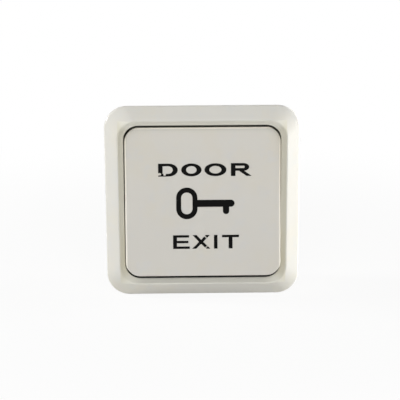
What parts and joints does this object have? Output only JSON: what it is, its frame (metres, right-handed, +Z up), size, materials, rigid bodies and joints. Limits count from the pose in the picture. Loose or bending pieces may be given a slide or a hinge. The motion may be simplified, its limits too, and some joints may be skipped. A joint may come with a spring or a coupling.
{
  "type": "door release push switch",
  "caption": "Square surface mounted push switch: a sloped cover frame around one large sprung rocker plate, on a box that holds a changeover contact mechanism.",
  "frame": {"origin": "middle of the surface box's back face, on the wall", "axes": "+X to the right seen from the front, +Z up, the front faces -Y, +Y into the wall"},
  "size_m": [0.08, 0.0303, 0.08],
  "materials": {
    "ivory_frame": "satin moulded ivory plastic",
    "ivory_plate": "satin moulded ivory plastic, lightly worn",
    "ivory_box": "fine textured moulded plastic",
    "legend_black": "pad printed black ink, chipped in places",
    "zinc_steel": "zinc plated pressed steel",
    "screw_steel": "plated steel screws",
    "spring_steel": "bright spring wire",
    "dark_moulding": "dark thermoset moulding",
    "light_moulding": "white moulded nylon",
    "plunger_plastic": "white moulded acetal",
    "rivet_brass": "tubular brass rivets",
    "contact_brass": "stamped brass",
    "contact_silver": "bright silver contact rivets"
  },
  "bodies": {
    "housing": {"base_box": "ivory_box", "cover_frame": "ivory_frame", "mounting_strap": "zinc_steel", "strap_screws": "screw_steel", "mechanism_body": "dark_moulding", "mechanism_cover": "light_moulding", "mechanism_rivets": "rivet_brass", "return_spring": "spring_steel", "common_strip": "contact_brass", "open_strip": "contact_brass", "closed_strip": "contact_brass", "fixed_contacts": "contact_silver", "terminal_clamps": "zinc_steel", "terminal_screws": "screw_steel"},
    "rocker": {"push_plate": "ivory_plate", "legend_print": "legend_black", "rocker_cradle": "light_moulding", "plunger_spring": "spring_steel"},
    "plunger": {"plunger": "plunger_plastic"},
    "lever": {"contact_lever": "contact_brass", "lever_contacts": "contact_silver"}
  },
  "joints": [
    {"name": "plate_rock", "type": "hinge", "parent": "housing", "child": "rocker", "pos_m": [0, -0.02054, -0.00073], "axis": [1, 0, 0], "range_deg": [0, 9], "stiffness_Nm_per_rad": 0.3, "springref_deg": -5.73, "deforming": ["return_spring"]},
    {"name": "plunger_slide", "type": "slide", "parent": "rocker", "child": "plunger", "axis": [0, -0.9925, 0.1219], "range_m": [0, 0.001], "stiffness_N_per_m": 400, "springref_m": -0.0015, "deforming": ["plunger_spring"]},
    {"name": "lever_tip", "type": "hinge", "parent": "housing", "child": "lever", "pos_m": [0, -0.00939, -0.00073], "axis": [1, 0, 0], "range_deg": [-9, 0]}
  ],
  "couplings": [
    {"joint": "lever_tip", "follows": "plate_rock", "ratio": -1}
  ]
}
